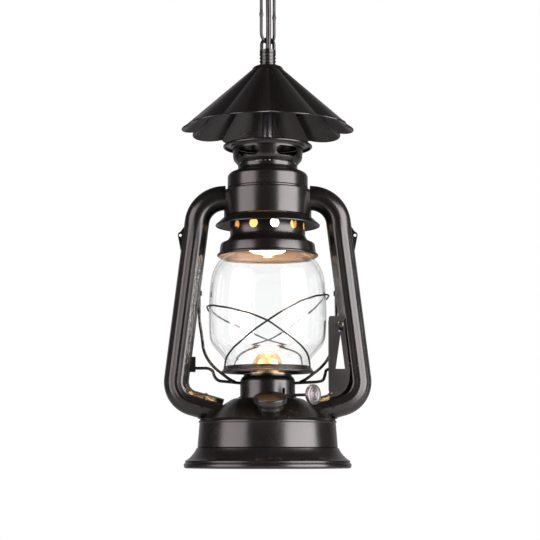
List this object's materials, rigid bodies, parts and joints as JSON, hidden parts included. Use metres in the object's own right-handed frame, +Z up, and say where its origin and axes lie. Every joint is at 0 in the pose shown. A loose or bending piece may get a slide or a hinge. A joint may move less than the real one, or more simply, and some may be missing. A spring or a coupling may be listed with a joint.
{
  "type": "barn lantern pendant",
  "caption": "Barn lantern made as a hanging electric lamp: a clear globe in wire guards, side air tubes, oil tank, petal shade, chain, cord and ceiling fitting.",
  "frame": {"origin": "middle of the mounting strap's two screw holes, at the ceiling", "axes": "+Z up, -Y the front with the filler cap, +X the side with the lift handle"},
  "size_m": [0.1782, 0.147, 0.513],
  "materials": {
    "black_enamel": "gloss black baked enamel on sheet steel",
    "clear_glass": "clear blown glass",
    "lit_bulb": "frosted, lit",
    "lamp_brass": "plain",
    "bulb_cap_metal": "rolled thread",
    "zinc_steel": "zinc plated",
    "holder_insulator": "moulded phenolic",
    "connector_plastic": "moulded",
    "cork_rubber": "matt",
    "cotton": "woven flat wick",
    "cord_jacket": "smooth flexible jacket",
    "lead_insulation": "smooth"
  },
  "bodies": {
    "canopy": {"ceiling_canopy": "black_enamel", "mounting_strap": "zinc_steel", "canopy_nipple": "zinc_steel", "canopy_nut": "zinc_steel", "canopy_loop": "black_enamel", "canopy_collar": "black_enamel", "wire_connectors": "connector_plastic", "canopy_leads": "lead_insulation"},
    "chain": {"lower_link": "black_enamel", "upper_link": "black_enamel", "cord": "cord_jacket"},
    "lantern": {"hang_loop": "black_enamel", "stem_collar": "black_enamel", "shade": "black_enamel", "shade_top": "black_enamel", "shade_washer": "black_enamel", "shade_nut": "black_enamel", "stem_tube": "black_enamel", "stem_leads": "lead_insulation", "crown_nut": "black_enamel", "crown_cap": "black_enamel", "crown_body": "black_enamel", "upper_drum": "black_enamel", "lower_drum": "black_enamel", "drip_flange": "black_enamel", "perforated_band": "black_enamel", "globe_hood": "black_enamel", "lamp_holder_shell": "black_enamel", "lamp_holder_core": "holder_insulator", "holder_screw_shell": "lamp_brass", "holder_contact": "lamp_brass", "bulb_cap": "bulb_cap_metal", "bulb_glass": "lit_bulb", "right_air_tube": "black_enamel", "left_air_tube": "black_enamel", "tube_ferrules": "black_enamel", "bail_ears": "black_enamel", "rivet_bracket": "black_enamel", "handle_rivet": "black_enamel", "wire_guides": "black_enamel", "tank_base": "black_enamel", "tank_bottom": "black_enamel", "tank_shell": "black_enamel", "tank_dome": "black_enamel", "filler_neck": "black_enamel", "burner_collar": "black_enamel", "burner_cone": "black_enamel", "wick_tube": "zinc_steel"},
    "globe_carriage": {"globe": "clear_glass", "globe_plate": "black_enamel", "guard_wires": "black_enamel", "side_guard_wires": "black_enamel", "lift_wire": "black_enamel", "lift_handle": "black_enamel"},
    "wick": {"wick": "cotton"},
    "wick_drive": {"wick_shaft": "zinc_steel", "wick_wheels": "zinc_steel", "wick_knob": "black_enamel"},
    "cap_seal": {"filler_gasket": "cork_rubber"},
    "filler_cap": {"filler_cap": "black_enamel"}
  },
  "joints": [
    {"name": "chain_swing", "type": "hinge", "parent": "canopy", "child": "chain", "pos_m": [0, 0, -0.0504], "axis": [0, 1, 0], "range_deg": [-10, 10]},
    {"name": "lantern_swing", "type": "hinge", "parent": "chain", "child": "lantern", "pos_m": [0, 0, -0.1381], "axis": [1, 0, 0], "range_deg": [-10, 10], "deforming": ["cord"]},
    {"name": "globe_lift", "type": "slide", "parent": "lantern", "child": "globe_carriage", "axis": [0, 0, 1], "range_m": [0, 0.004]},
    {"name": "wick_turn", "type": "hinge", "parent": "lantern", "child": "wick_drive", "pos_m": [-0.00349, -0.00386, -0.4518], "axis": [0.742, -0.6704, 0], "range_deg": [0, 57.2]},
    {"name": "wick_rise", "type": "slide", "parent": "lantern", "child": "wick", "axis": [0, 0, 1], "range_m": [0, 0.004]},
    {"name": "cap_rise", "type": "slide", "parent": "lantern", "child": "cap_seal", "axis": [0, -0.342, 0.9397], "range_m": [0, 0.0041]},
    {"name": "cap_turn", "type": "hinge", "parent": "cap_seal", "child": "filler_cap", "pos_m": [0.0023, -0.045, -0.4532], "axis": [0, -0.342, 0.9397], "range_deg": [0, 720]}
  ],
  "couplings": [
    {"joint": "wick_rise", "follows": "wick_turn", "m_per_rad": 0.004},
    {"joint": "cap_rise", "follows": "cap_turn", "m_per_rad": 0.00031831}
  ]
}
